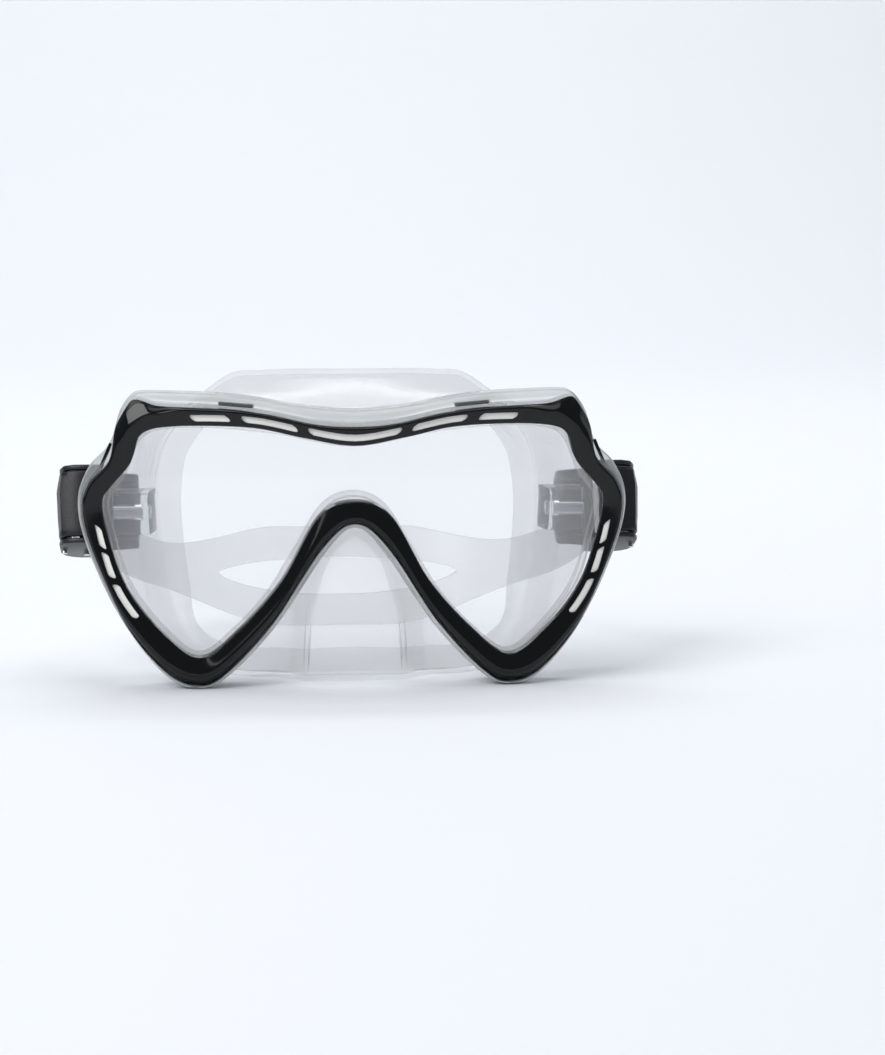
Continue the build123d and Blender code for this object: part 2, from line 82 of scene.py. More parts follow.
def spline(points, steps=24):
    """Points closely spaced along a Catmull-Rom curve through the given ones, with their indices."""
    dense, marks = [], []
    for i in range(len(points) - 1):
        p0 = Vector(points[max(i - 1, 0)])
        p1, p2 = Vector(points[i]), Vector(points[i + 1])
        p3 = Vector(points[min(i + 2, len(points) - 1)])
        if i == 0:
            p0 = 2 * p1 - p2
        if i == len(points) - 2:
            p3 = 2 * p2 - p1
        marks.append(len(dense))
        for k in range(steps):
            t = k / steps
            dense.append(0.5 * (2 * p1 + (p2 - p0) * t + (2 * p0 - 5 * p1 + 4 * p2 - p3) * t ** 2
                                + (3 * p1 - p0 - 3 * p2 + p3) * t ** 3))
    marks.append(len(dense))
    dense.append(Vector(points[-1]))
    return dense, marks


def evenly(line, count):
    """The line resampled at even spacing, leaving out its last point."""
    along = [0.0]
    for a, b in zip(line, line[1:]):
        along.append(along[-1] + (b - a).length)
    made, k = [], 0
    for i in range(count):
        want = along[-1] * i / count
        while along[k + 1] < want:
            k += 1
        t = (want - along[k]) / max(along[k + 1] - along[k], 1e-9)
        made.append(line[k].lerp(line[k + 1], t))
    return made


def mirrored(points):
    """The points reflected across the centre line, in reverse order."""
    return [Vector((-p[0], *p[1:])) for p in reversed(points)]


def half_loop(top, side):
    """Samples from the top centre over the corner and round the lower tip to the arch centre."""
    reflect = [(-top[1][0], top[1][1])]
    dense, marks = spline(reflect + top)
    top_line = dense[marks[1]:]
    dense, marks = spline(side + [(-side[-2][0], side[-2][1])])
    tip = min(range(len(side)), key=lambda i: side[i][1])
    side_line = dense[:marks[tip] + 1]
    flank_line = dense[marks[tip]:marks[len(side) - 1] + 1]
    half = evenly(top_line, TOP_COUNT) + evenly(side_line, SIDE_COUNT) + evenly(flank_line, FLANK_COUNT)
    return half + [flank_line[-1]]


def whole_loop(half, rounds):
    """The closed loop: the right half, then its mirror image, with the top corners rounded off."""
    loop = half + mirrored(half[1:-1])
    for _ in range(rounds):
        for corner in (TOP_COUNT, len(loop) - TOP_COUNT):
            near = range(corner - CORNER_REACH, corner + CORNER_REACH + 1)
            mean = {i: (loop[i - 1] + 2 * loop[i] + loop[i + 1]) / 4 for i in near}
            for i in near:
                loop[i] = mean[i]
    return loop


BEZEL = whole_loop(half_loop(BEZEL_TOP, BEZEL_SIDE), BEZEL_ROUNDS)
OPENING = whole_loop(half_loop(OPENING_TOP, OPENING_SIDE), OPENING_ROUNDS)
RIM = whole_loop(half_loop(RIM_TOP, RIM_SIDE), RIM_ROUNDS)
LOOP_COUNT = len(BEZEL)


def station(i):
    """Where sample i is on its half: 0 top centre, 1 corner, 2 lower tip, 3 arch centre."""
    i = min(i, LOOP_COUNT - i)
    if i <= TOP_COUNT:
        return i / TOP_COUNT
    if i <= TOP_COUNT + SIDE_COUNT:
        return 1 + (i - TOP_COUNT) / SIDE_COUNT
    return 2 + (i - TOP_COUNT - SIDE_COUNT) / FLANK_COUNT


def ramp(keys, s):
    """Smooth interpolation through (station, value) keys."""
    for (s0, v0), (s1, v1) in zip(keys, keys[1:]):
        if s <= s1:
            t = max((s - s0) / (s1 - s0), 0)
            return v0 + (v1 - v0) * t * t * (3 - 2 * t)
    return keys[-1][1]


def bow(x):
    """How far the bowed front has swept back at x."""
    return FRONT_RADIUS - math.sqrt(FRONT_RADIUS ** 2 - x ** 2)


def at(x, y, z):
    """A point in metres in the shared frame."""
    return Vector((x * MM, FRONT_Y + y * MM, z * MM))


def new_object(name, verts, faces, smooth_angle=40):
    """A mesh object with consistent normals, smooth up to the given angle."""
    mesh = bpy.data.meshes.new(name)
    mesh.from_pydata([tuple(v) for v in verts], [], faces)
    mesh.validate()
    made = bpy.data.objects.new(name, mesh)
    bpy.context.scene.collection.objects.link(made)
    tidy_normals(made)
    shade(made, smooth_angle)
    return made


def tidy_normals(obj):
    """Weld doubles and turn every face outwards."""
    work = bmesh.new()
    work.from_mesh(obj.data)
    bmesh.ops.remove_doubles(work, verts=work.verts, dist=0.00001)
    bmesh.ops.recalc_face_normals(work, faces=work.faces)
    work.to_mesh(obj.data)
    work.free()


def shade(obj, angle):
    """Smooth shading with hard edges beyond the angle."""
    obj.data.polygons.foreach_set("use_smooth", [True] * len(obj.data.polygons))
    obj.data.set_sharp_from_angle(angle=math.radians(angle))


def apply(obj, kind, **settings):
    """Add one modifier and bake it into the mesh."""
    modifier = obj.modifiers.new(kind, kind)
    for key, value in settings.items():
        setattr(modifier, key, value)
    graph = bpy.context.evaluated_depsgraph_get()
    mesh = bpy.data.meshes.new_from_object(obj.evaluated_get(graph))
    obj.modifiers.clear()
    obj.data = mesh


def join(target, *others):
    """Join the other objects' meshes into the target."""
    work = bmesh.new()
    work.from_mesh(target.data)
    for other in others:
        work.from_mesh(other.data)
    work.to_mesh(target.data)
    work.free()
    for other in others:
        bpy.data.objects.remove(other)


def ring(name, rows, closed_section=True, smooth_angle=35):
    """A closed band from rows of points that all run round the same loop."""
    count = len(rows[0])
    verts = [p for row in rows for p in row]
    faces = []
    spans = len(rows) if closed_section else len(rows) - 1
    for r in range(spans):
        low, high = r * count, ((r + 1) % len(rows)) * count
        for i in range(count):
            j = (i + 1) % count
            faces.append((low + i, low + j, high + j, high + i))
    return new_object(name, verts, faces, smooth_angle)


def prism(name, outline, y_front, y_back, bevel=0.0):
    """A bar whose front view is the outline; the depths may depend on x."""
    count = len(outline)
    verts = [at(p[0], y_front(p[0]), p[1]) for p in outline]
    verts += [at(p[0], y_back(p[0]), p[1]) for p in outline]
    faces = [tuple(range(count)), tuple(reversed(range(count, 2 * count)))]
    faces += [(i, i + count, (i + 1) % count + count, (i + 1) % count) for i in range(count)]
    made = new_object(name, verts, faces)
    if bevel:
        apply(made, "BEVEL", width=bevel * MM, segments=3, limit_method="ANGLE")
        shade(made, 50)
    return made


def cut(obj, cutters):
    """Take the cutters away from the object, and delete them."""
    group = bpy.data.collections.new(obj.name + ".cutters")
    for cutter in cutters:
        group.objects.link(cutter)
    apply(obj, "BOOLEAN", operation="DIFFERENCE", solver="EXACT", operand_type="COLLECTION",
          collection=group)
    for cutter in cutters:
        bpy.data.objects.remove(cutter)
    bpy.data.collections.remove(group)


# ---- black bezel ---------------------------------------------------------------------
CREST = [(0, 0.12), (0.78, 0.13), (0.91, 0.36), (1.0, 0.56), (1.07, 0.36), (1.17, 0.13), (1.6, 0.12),
         (1.82, 0.26), (2.0, 0.40), (2.2, 0.38), (2.6, 0.30), (3, 0.30)]
CHAMFER_DROP = [(0, 0.8), (0.80, 0.9), (0.93, 2.6), (1.0, 3.4), (1.06, 2.4), (1.16, 1.0), (1.6, 0.9),
                (1.82, 2.0), (2.0, 3.2), (2.2, 3.0), (2.6, 2.2), (3, 2.0)]
INNER_DROP = 1.3


def bezel_point(i, t, y):
    """A point between the bezel's outer edge (t = 0) and its opening (t = 1)."""
    p = BEZEL[i].lerp(OPENING[i], t)
    return at(p.x, y + bow(p.x), p.y)


def bezel_row(level, lift):
    """One loop of the bezel: level and lift are functions of the sample."""
    return [bezel_point(i, level(i), lift(i)) for i in range(LOOP_COUNT)]


def flat_row(loop, y):
    """One loop of points at a single depth."""
    return [at(p.x, y, p.y) for p in loop]


def front_bezel():
    """Ring with a ridge between a bright inner band and an outer chamfer, slots and clips."""
    def crest(i):
        return ramp(CREST, station(i))

    def drop(i):
        return ramp(CHAMFER_DROP, station(i))

    rows = [flat_row(BEZEL, BEZEL_BACK),
            bezel_row(lambda i: 0, lambda i: drop(i) + 0.5),
            bezel_row(lambda i: 0.02, drop),
            bezel_row(lambda i: crest(i) - 0.05, lambda i: 0.16),
            bezel_row(lambda i: crest(i) - 0.01, lambda i: 0.02),
            bezel_row(lambda i: crest(i) + 0.03, lambda i: 0.0),
            bezel_row(lambda i: crest(i) + 0.10, lambda i: 0.06),
            bezel_row(lambda i: 0.5 + crest(i) / 2, lambda i: 0.35 * INNER_DROP),
            bezel_row(lambda i: 0.90, lambda i: 0.85 * INNER_DROP),
            bezel_row(lambda i: 0.965, lambda i: INNER_DROP),
            bezel_row(lambda i: 1.0, lambda i: INNER_DROP + 0.45),
            flat_row(OPENING, BEZEL_BACK)]
    bezel = ring("bezel", rows)
    cut(bezel, [prism("slot", outline, lambda x: -5, lambda x: BEZEL_BACK + 5) for outline in slots(0)])
    shade(bezel, 32)
    join(bezel, *clip_bars())
    return bezel


# ---- slots through the bezel ------------------------------------------------------------
TOP_SLOT_BAND = (1.45, 3.7)
SIDE_SLOT_BAND = (1.6, 3.8)
SLOT_SLANT = 1.4             # the top slots' upper edges start this much further out
SLOT_CORNER = 0.8
TOP_SLOTS = [(-13.4, 13.4), (17.0, 33.6), (37.7, 49.3)]
SIDE_SLOTS = [(50.3, 44.2), (42.7, 35.8), (34.0, 24.6)]
SLOT_STEPS = 10


def band_point(i, distance):
    """A point that far out from the bezel's opening, towards the outer edge."""
    out = BEZEL[i] - OPENING[i]
    return OPENING[i] + out.normalized() * distance


def sample_where(value, axis, low, high):
    """The fractional sample in a range at which the opening's x (axis 0) or z (axis 1) is the value."""
    for i in range(low, high):
        a, b = OPENING[i % LOOP_COUNT][axis], OPENING[(i + 1) % LOOP_COUNT][axis]
        if (a - value) * (b - value) <= 0 and a != b:
            return i + (value - a) / (b - a)
    return low


def band_outline(start, end, band, slant, shrink):
    """A slot's outline in (x, z) between two samples, its ends slanted along the band."""
    low, high = band[0] + shrink, band[1] - shrink

    def edge(distance, shift):
        points = []
        for k in range(SLOT_STEPS + 1):
            f = start + shift[0] + (end + shift[1] - start - shift[0]) * k / SLOT_STEPS
            i = math.floor(f)
            here = band_point(i % LOOP_COUNT, distance)
            points.append(here.lerp(band_point((i + 1) % LOOP_COUNT, distance), f - i))
        return points

    outer = edge(high, slant[0])
    inner = edge(low, slant[1])
    return rounded(outer + inner[::-1], SLOT_CORNER)


def rounded(points, size):
    """The closed outline with its sharp corners cut back twice."""
    for cutback in (size, size / 3):
        made = []
        count = len(points)
        for i, p in enumerate(points):
            before, after = points[i - 1] - p, points[(i + 1) % count] - p
            turn = math.pi - before.angle(after, math.pi)
            if turn < 0.5:
                made.append(p)
                continue
            made += [p + side.normalized() * min(cutback, side.length * 0.45) for side in (before, after)]
        points = made
    return points


def slots(shrink):
    """All eleven slot outlines."""
    outlines = []
    top_step = BEZEL[TOP_COUNT // 2].x / (TOP_COUNT / 2)   # mm from one top sample to the next
    slant = SLOT_SLANT / top_step
    for x0, x1 in TOP_SLOTS:
        first = sample_where(max(x0, 0), 0, 0, TOP_COUNT)
        last = sample_where(x1, 0, 0, TOP_COUNT)
        if x0 < 0:
            outline = band_outline(-last, last, TOP_SLOT_BAND, ((-slant, slant), (0, 0)), shrink)
            outlines.append(outline)
            continue
        outline = band_outline(first, last, TOP_SLOT_BAND, ((slant, slant), (0, 0)), shrink)
        outlines += [outline, mirrored(outline)]
    low, high = TOP_COUNT + SIDE_COUNT // 4, TOP_COUNT + SIDE_COUNT
    for z0, z1 in SIDE_SLOTS:
        first, last = sample_where(z0, 1, low, high), sample_where(z1, 1, low, high)
        outline = band_outline(first, last, SIDE_SLOT_BAND, ((-0.6, -0.6), (0.6, 0.6)), shrink)
        outlines += [outline, mirrored(outline)]
    return outlines


PAD_RECESS = 1.0
PAD_GAP = 0.12


def slot_pads():
    """Silicone pads of the skirt that fill the bezel's slots."""
    pads = [prism("pad", outline, lambda x: bow(x) + PAD_RECESS, lambda x: BEZEL_BACK)
            for outline in slots(PAD_GAP)]
    join(pads[0], *pads[1:])
    pads[0].name = "slot_pads"
    return pads[0]


# ---- snap clips and their windows ---------------------------------------------------------
# each is (x, z, length, slope, window width or 0 for none, whether a dark hook shows through)
CLIPS = [(36.7, 88.5, 11.4, 5.0, 2.6, True), (77.0, 73.4, 9.0, -67.0, 0, True),
         (75.0, 25.0, 9.0, 62.0, 2.2, False), (22.1, 23.7, 10.0, -54.0, 2.2, False)]
WINDOW_DEPTH = 3.1
HOOK_DEPTH = 3.6               # front of a hook behind a window
BARE_HOOK_DEPTH = 2.0          # front of a hook with no window
HOOK_WIDTH = 1.1
HOOK_RAISE = 0.45              # the hook sits in the upper half of its window
WINDOW_RIM = 0.35


def bar_outline(x, z, length, slope, width):
    """Corners of a slanted bar in the front view."""
    along = Vector((math.cos(math.radians(slope)), math.sin(math.radians(slope))))
    across = Vector((-along.y, along.x))
    middle = Vector((x, z))
    corners = [(-1, -1), (1, -1), (1, 1), (-1, 1)]
    return [middle + along * (a * length / 2) + across * (b * width / 2) for a, b in corners]


def clip_bars():
    """Black hooks of the bezel, seen through the clear rim."""
    bars = []
    for x, z, length, slope, window, shows in CLIPS:
        if shows:
            raised = z + (HOOK_RAISE if window else 0)
            depth = HOOK_DEPTH if window else BARE_HOOK_DEPTH
            outline = bar_outline(x, raised, length - 2 * WINDOW_RIM, slope, HOOK_WIDTH)
            bars += [prism("hook", half, lambda x, d=depth: bow(x) + d, lambda x: BEZEL_BACK - 0.4, 0.3)
                     for half in (outline, mirrored(outline))]
    return bars


def windows():
    """Cutters for the clip windows: a shallow step in the rim's crown."""
    cutters = []
    for x, z, length, slope, window, _ in CLIPS:
        if window:
            outline = bar_outline(x, z, length, slope, window)
            cutters += [prism("window", half, lambda x: -3, lambda x: WINDOW_DEPTH + bow(x))
                        for half in (outline, mirrored(outline))]
    return cutters


# ---- clear frame ---------------------------------------------------------------------------
# the crown's rows: how far in from the rim's edge (0) to the bezel's (1), and how far back
RIM_CROWN = [(0, 6.2), (0.03, 5.2), (0.12, 4.1), (0.30, 3.3), (0.48, 2.9), (0.54, 2.5), (0.62, 1.9),
             (0.80, 1.7), (0.97, RIM_SETBACK), (0.99, RIM_SETBACK + 0.3)]
FLANGE_OUT = 1.9               # the flange's inner edge is this far out from the opening
RIM_DRAFT = 0.995              # the rim narrows this much to its back, about RIM_MIDDLE
RIM_MIDDLE = 45


def clear_frame():
    """Clear rim with a rounded crown round the bezel, and a flange behind it."""
    def crown_row(t, lift):
        made = []
        for i in range(LOOP_COUNT):
            p = RIM[i].lerp(BEZEL[i], t)
            made.append(at(p.x, lift + bow(p.x), p.y))
        return made

    flange = [band_point(i, FLANGE_OUT) for i in range(LOOP_COUNT)]
    back = [at(p.x * RIM_DRAFT, FRAME_BACK, RIM_MIDDLE + (p.y - RIM_MIDDLE) * RIM_DRAFT) for p in RIM]
    rows = [flat_row(RIM, FRAME_BACK - 0.5)] + [crown_row(t, lift) for t, lift in RIM_CROWN]
    rows += [flat_row(BEZEL, FLANGE_FRONT), flat_row(flange, FLANGE_FRONT),
             flat_row(flange, FRAME_BACK), back]
    made = ring("clear_rim", rows, smooth_angle=50)
    cut(made, windows())
    shade(made, 45)
    return made


# ---- silicone skirt -------------------------------------------------------------------------
# Control rows from the lens lip to the inner sealing lip; each has the right half's points as
# (x, y, z): top centre, top, top outer, corner, upper side, side, side low, cheek, lower, tip,
# flank low, flank middle, flank high, arch shoulder, arch centre.
LIP = [(0, 75.6), (26, 80.1), (50, 82.0), (65.6, 79.4), (72.0, 66.6), (77.2, 58.5), (75.6, 48.0),
       (70.2, 31.0), (59.6, 16.6), (48.5, 8.8), (36.6, 17.0), (26.6, 28.2), (18.2, 41.6), (9.4, 55.6),
       (0, 59.6)]
SKIRT_ROWS = [
    [(x, 15.0, z) for x, z in LIP],
    [(x, 18.4, z) for x, z in LIP],
    [(0, 20.2, 79.0), (27, 20.2, 84.0), (51, 20.4, 85.6), (67.4, 20.6, 80.6), (73.4, 20.6, 68.6),
     (77.4, 20.2, 58.6), (75.8, 20.2, 47.6), (71.2, 20.6, 29.6), (61.6, 20.6, 14.6), (48.6, 20.4, 6.4),
     (33.0, 20.2, 14.0), (24.2, 19.6, 25.4), (15.2, 19.0, 38.6), (8.8, 18.6, 49.4), (0, 18.4, 54.4)],
    [(0, 22.5, 83.4), (27, 22.5, 86.6), (51, 22.5, 86.6), (64.8, 23.0, 78.6), (68.6, 23.0, 67.6),
     (70.6, 23.0, 58.0), (69.6, 23.0, 46.6), (66.4, 23.0, 28.6), (60.4, 22.5, 12.8), (47.6, 22.0, 3.6),
     (30.0, 19.8, 9.2), (19.8, 14.6, 22.6), (12.6, 9.4, 35.0), (7.2, 7.6, 43.6), (0, 7.2, 47.8)],
    [(0, 26.5, 87.0), (27, 26.5, 88.8), (47.6, 27.0, 88.4), (61.6, 27.5, 77.6), (65.0, 27.5, 67.0),
     (66.2, 27.5, 57.4), (65.4, 27.5, 45.8), (62.8, 27.0, 28.0), (58.0, 26.0, 12.4), (45.8, 24.6, 2.4),
     (27.6, 19.0, 6.4), (16.8, 10.6, 19.4), (12.6, 6.4, 30.8), (7.6, 5.0, 38.0), (0, 4.0, 41.6)],
    [(0, 31.0, 90.2), (27, 31.0, 91.2), (45.2, 32.0, 90.0), (60.2, 33.0, 77.4), (63.6, 33.0, 66.6),
     (64.4, 33.0, 56.8), (63.6, 33.0, 45.0), (61.0, 31.6, 27.4), (56.4, 29.6, 12.2), (44.2, 26.6, 2.3),
     (25.4, 17.6, 4.2), (15.6, 8.2, 14.6), (14.2, 5.2, 22.6), (8.8, 3.6, 28.6), (0, 2.6, 30.6)],
    [(0, 36.0, 93.2), (27, 36.4, 93.2), (42.0, 38.0, 91.2), (58.2, 39.6, 77.2), (62.6, 39.8, 66.0),
     (63.4, 39.6, 56.0), (62.6, 38.6, 44.2), (59.8, 36.4, 26.8), (55.0, 32.8, 12.0), (42.6, 28.4, 2.0),
     (24.4, 16.6, 2.6), (15.6, 7.4, 8.2), (15.2, 5.4, 12.8), (9.8, 3.8, 15.6), (0, 3.0, 16.6)],
    [(0, 40.5, 95.4), (27, 41.6, 95.0), (40.4, 44.0, 92.6), (57.8, 46.2, 77.2), (62.8, 46.6, 65.6),
     (63.4, 45.6, 55.4), (62.4, 43.4, 43.6), (59.4, 40.0, 26.2), (54.0, 35.2, 11.6), (41.0, 29.6, 1.9),
     (24.4, 17.0, 2.4), (16.4, 9.0, 3.6), (14.8, 6.6, 5.8), (10.0, 5.4, 6.6), (0, 4.8, 7.2)],
    [(0, 43.9, 96.2), (27, 46.2, 95.8), (40.0, 49.8, 93.2), (57.2, 54.2, 77.2), (62.0, 53.6, 65.4),
     (62.4, 51.6, 55.0), (61.4, 48.6, 43.0), (58.4, 44.0, 25.8), (52.8, 38.0, 11.2), (39.6, 30.8, 1.4),
     (24.0, 20.0, 1.6), (16.8, 13.0, 1.6), (14.4, 10.4, 1.8), (9.6, 9.6, 2.0), (0, 9.4, 2.0)],
    [(0, 44.3, 94.0), (26.4, 46.6, 93.8), (39.2, 49.8, 91.0), (55.6, 54.2, 76.0), (59.8, 53.6, 65.0),
     (60.2, 51.6, 54.8), (59.2, 48.8, 42.8), (56.2, 44.2, 26.6), (50.8, 38.8, 12.8), (38.4, 31.6, 3.2),
     (23.6, 24.0, 1.9), (16.6, 22.2, 1.7), (13.8, 21.6, 1.7), (9.2, 21.2, 1.8), (0, 21.0, 1.9)],
    [(0, 43.0, 88.6), (25.4, 44.8, 88.4), (40.6, 48.0, 85.6), (53.6, 51.6, 73.0), (56.0, 51.2, 63.6),
     (56.6, 49.4, 54.2), (55.8, 46.8, 43.0), (53.0, 42.6, 28.4), (50.4, 38.0, 15.2), (39.4, 32.0, 6.4),
     (23.2, 26.2, 5.4), (16.4, 24.4, 5.2), (13.4, 24.0, 5.2), (9.0, 23.8, 5.4), (0, 23.8, 5.6)],
    [(0, 42.4, 84.6), (24.8, 44.0, 84.6), (43.2, 47.6, 80.8), (51.6, 50.2, 71.2), (54.0, 50.0, 62.8),
     (54.6, 48.4, 54.0), (54.0, 46.0, 43.2), (52.4, 41.8, 28.0), (50.0, 37.6, 15.4), (38.4, 32.6, 8.8),
     (22.8, 27.2, 8.8), (16.2, 25.4, 8.6), (13.2, 25.2, 8.6), (8.8, 25.0, 8.8), (0, 25.0, 9.0)]]
SKIRT_THICK = 1.7
LOOP_STEPS, ROW_STEPS = 7, 5


def face_skirt():
    """Smooth silicone shell through the control rows."""
    loops = []
    for row in SKIRT_ROWS:
        right = [Vector(p) for p in row]
        loop = right + mirrored(right[1:-1])
        dense, marks = spline(loop[-2:] + loop + loop[:2], LOOP_STEPS)
        loops.append(dense[marks[2]:marks[-2]])
    columns = [spline([loop[i] for loop in loops], ROW_STEPS)[0] for i in range(len(loops[0]))]
    made = ring("skirt", [[at(*p) for p in row] for row in zip(*columns)], False, 180)
    apply(made, "SOLIDIFY", thickness=SKIRT_THICK * MM, offset=0.0)
    apply(made, "BEVEL", width=0.4 * MM, segments=2, limit_method="ANGLE", angle_limit=math.radians(60))
    tidy_normals(made)
    shade(made, 60)
    return made


# ---- strap, level about the pivot, then tipped to where it rests ------------------------------
STRAP_THICK = 1.8
STRAP_REACH = 92.0
STRAP_END_HALF = 8.0
STRAP_BACK_HALF = 18.0
EYE_HALF_LENGTH = 42.0
EYE_HALF_HEIGHT = 6.8
ROLLER = (84.5, 1.4)           # roller centre in x and in y from the pivot
WRAP_RADIUS = 3.6              # middle of the strap round the roller
RUN_X, TAIL_X, TAIL_END = 80.9, 88.1, 26.0
STRAP_PATH = [(79.4, 30.0), (73.0, 53.0), (60.5, 72.5), (43.0, 85.0), (22.0, 90.2)]
STRAP_SPREAD = [(20, 1), (64, 0)]   # full height near the back centre, narrow at the sides
STRAP_ROWS = 14


def tipped(x, y, z):
    """A point of the level strap, in mm from the pivot, where it is at rest."""
    turned = Matrix.Rotation(-DROOP, 3, "X") @ Vector((x, y, z))
    return PIVOT + turned * MM


def strap_line():
    """Samples of the strap's middle line in plan, from the right tail to the back centre."""
    tail = [Vector((TAIL_X, TAIL_END)), Vector((TAIL_X, ROLLER[1] + 8))]
    wrap = []
    for k in range(13):
        angle = -math.pi * k / 12
        wrap.append(Vector((ROLLER[0] + WRAP_RADIUS * math.cos(angle),
                            ROLLER[1] + WRAP_RADIUS * math.sin(angle))))
    back = (0, STRAP_REACH - STRAP_THICK / 2)
    loop, marks = spline([(RUN_X, 14.0)] + STRAP_PATH + [back, (-STRAP_PATH[-1][0], STRAP_PATH[-1][1])])
    return tail + wrap + evenly(loop[:marks[-2] + 1], 90) + [Vector(back)]


def head_strap():
    """Band that turns round the rollers and splits in two at the back of the head."""
    half = strap_line()
    line = half + mirrored(half[:-1])
    count = len(line)
    verts, faces = [], []
    for x, y in line:
        spread = ramp(STRAP_SPREAD, abs(x)) if y > 40 else 0
        tall = STRAP_END_HALF + (STRAP_BACK_HALF - STRAP_END_HALF) * spread
        inside = 1 - (x / EYE_HALF_LENGTH) ** 2
        eye = EYE_HALF_HEIGHT * math.sqrt(inside) ** 1.3 if inside > 0 and y > 60 else 0
        for side in (-1, 1):
            for r in range(STRAP_ROWS // 2 + 1):
                t = r / (STRAP_ROWS // 2)
                height = -tall + (tall - eye) * t if side < 0 else eye + (tall - eye) * t
                verts.append(tipped(x, y, height))
    width = STRAP_ROWS + 2
    for i in range(count - 1):
        for r in range(width - 1):
            if r == STRAP_ROWS // 2:
                continue
            a, b = i * width + r, (i + 1) * width + r
            faces.append((a, a + 1, b + 1, b))
    made = new_object("strap", verts, faces, 180)
    apply(made, "SOLIDIFY", thickness=STRAP_THICK * MM, offset=0.0, use_even_offset=True)
    apply(made, "BEVEL", width=0.5 * MM, segments=3, limit_method="ANGLE", angle_limit=math.radians(50))
    tidy_normals(made)
    shade(made, 60)
    return made


# ---- buckles, level about the pivot, then tipped like the strap -------------------------------------
CHEEK_PLAN = [(76.4, -9.0), (80.6, -10.8), (90.0, -10.8), (92.9, -7.6), (92.9, 5.4), (88.6, 9.6), (76.4, 9.6)]
CHEEK_CORNER = 1.8
CHEEK_BAND = (11.2, 12.9)       # the cheeks' near and far faces, above and below the strap
WEB_PLAN = [(76.2, -6.4), (79.2, -6.4), (79.2, 6.4), (76.2, 6.4)]
CUP_PROFILE = [(68.3, 9.3), (67.8, 9.8), (67.8, 11.4), (68.4, 12.0), (76.6, 12.6), (76.6, 9.3)]
CUP_STEPS = 72
CUP_FRONT = [(64, 34), (78, 34), (78, 70), (64, 70)]   # this block, seen from the front and between
CUP_CUT = (24, 41)                                     # these depths, is taken off the cup
LEVER_PLAN = [(80.4, -8.0), (80.8, -10.4), (84.0, -11.4), (89.6, -11.0), (92.6, -9.8), (93.8, -6.6),
              (93.6, -1.0), (93.3, 5.0), (91.8, 10.4), (90.5, 10.5), (89.6, 8.7), (90.0, 7.0),
              (90.2, 2.0), (90.0, -4.0), (90.0, -7.4), (88.6, -9.0), (84.5, -9.2), (82.2, -8.0)]
LEVER_LEVELS = [-10.7, -8.0, -5.0, -2.0, 1.0, 4.5, 7.0, 9.0, 10.7]
LEVER_BULGE = [(-10.7, 0.78), (-2.0, 0.92), (4.5, 1.0), (10.7, 0.78)]   # never inside the pin
LEVER_BACK_X = 89.9            # the bulge scales only what is further out than this


def standing(name, side, plan, levels, bevel, reach=lambda x, z: x):
    """A piece whose plan is the same at each level, apart from how far out it reaches."""
    count = len(plan)
    verts = [tipped(side * reach(x, z), y, z) for z in levels for x, y in plan]
    faces = [tuple(range(count)), tuple(range((len(levels) - 1) * count, len(levels) * count))]
    for r in range(len(levels) - 1):
        for i in range(count):
            j = (i + 1) % count
            faces.append((r * count + i, r * count + j, (r + 1) * count + j, (r + 1) * count + i))
    made = new_object(name, verts, faces)
    apply(made, "BEVEL", width=bevel * MM, segments=3, limit_method="ANGLE", angle_limit=math.radians(50))
    shade(made, 45)
    return made


def buckle_body(side):
    """Half-round cup behind the anchor, a web outside it, and a cheek above and below the strap."""
    rows = []
    for x, radius in CUP_PROFILE:
        turn = [2 * math.pi * k / CUP_STEPS for k in range(CUP_STEPS)]
        rows.append([tipped(side * x, radius * math.cos(a), radius * math.sin(a)) for a in turn])
    body = ring("buckle", rows, smooth_angle=40)
    front = prism("front", [(side * x, z) for x, z in CUP_FRONT], lambda x: CUP_CUT[0], lambda x: CUP_CUT[1])
    cut(body, [front])
    shade(body, 40)
    plan = rounded([Vector(p) for p in CHEEK_PLAN], CHEEK_CORNER)
    near, far = CHEEK_BAND
    join(body, standing("web", side, WEB_PLAN, (-near - 0.4, near + 0.4), 0.4),
         standing("cheek", side, plan, (near, far), 0.5), standing("cheek", side, plan, (-far, -near), 0.5))
    return body


def release_lever(side):
    """Thumb lever: a shield over the front of the buckle, and the pawl plate behind it."""
    def reach(x, z):
        return LEVER_BACK_X + (x - LEVER_BACK_X) * ramp(LEVER_BULGE, z) if x > LEVER_BACK_X else x

    return standing("lever", side, LEVER_PLAN, LEVER_LEVELS, 0.6, reach)


def clear_boss(node):
    """The CAD anchor with its edges rounded and its flat faces in one piece."""
    source = frame["nodes"][node]
    made = source.copy()
    made.data = source.data.copy()
    made.name = "boss"
    made.parent = None
    bpy.context.scene.collection.objects.link(made)
    work = bmesh.new()
    work.from_mesh(made.data)
    bmesh.ops.remove_doubles(work, verts=work.verts, dist=0.000005)
    bmesh.ops.dissolve_limit(work, angle_limit=math.radians(2), verts=work.verts, edges=work.edges)
    work.to_mesh(made.data)
    work.free()
    apply(made, "BEVEL", width=0.5 * MM, segments=3, limit_method="ANGLE", angle_limit=math.radians(35))
    shade(made, 40)
    return made


# ---- materials ------------------------------------------------------------------------------------
GLOW_SHARE = 0.55              # of a see-through body's light, how much comes through from behind
SHADOW_SHARE = 0.25            # how much of its haze casts a shadow
EDGE_BLEND = 0.45              # how early the haze thickens as a face turns edge-on
COAT_IOR = 1.42


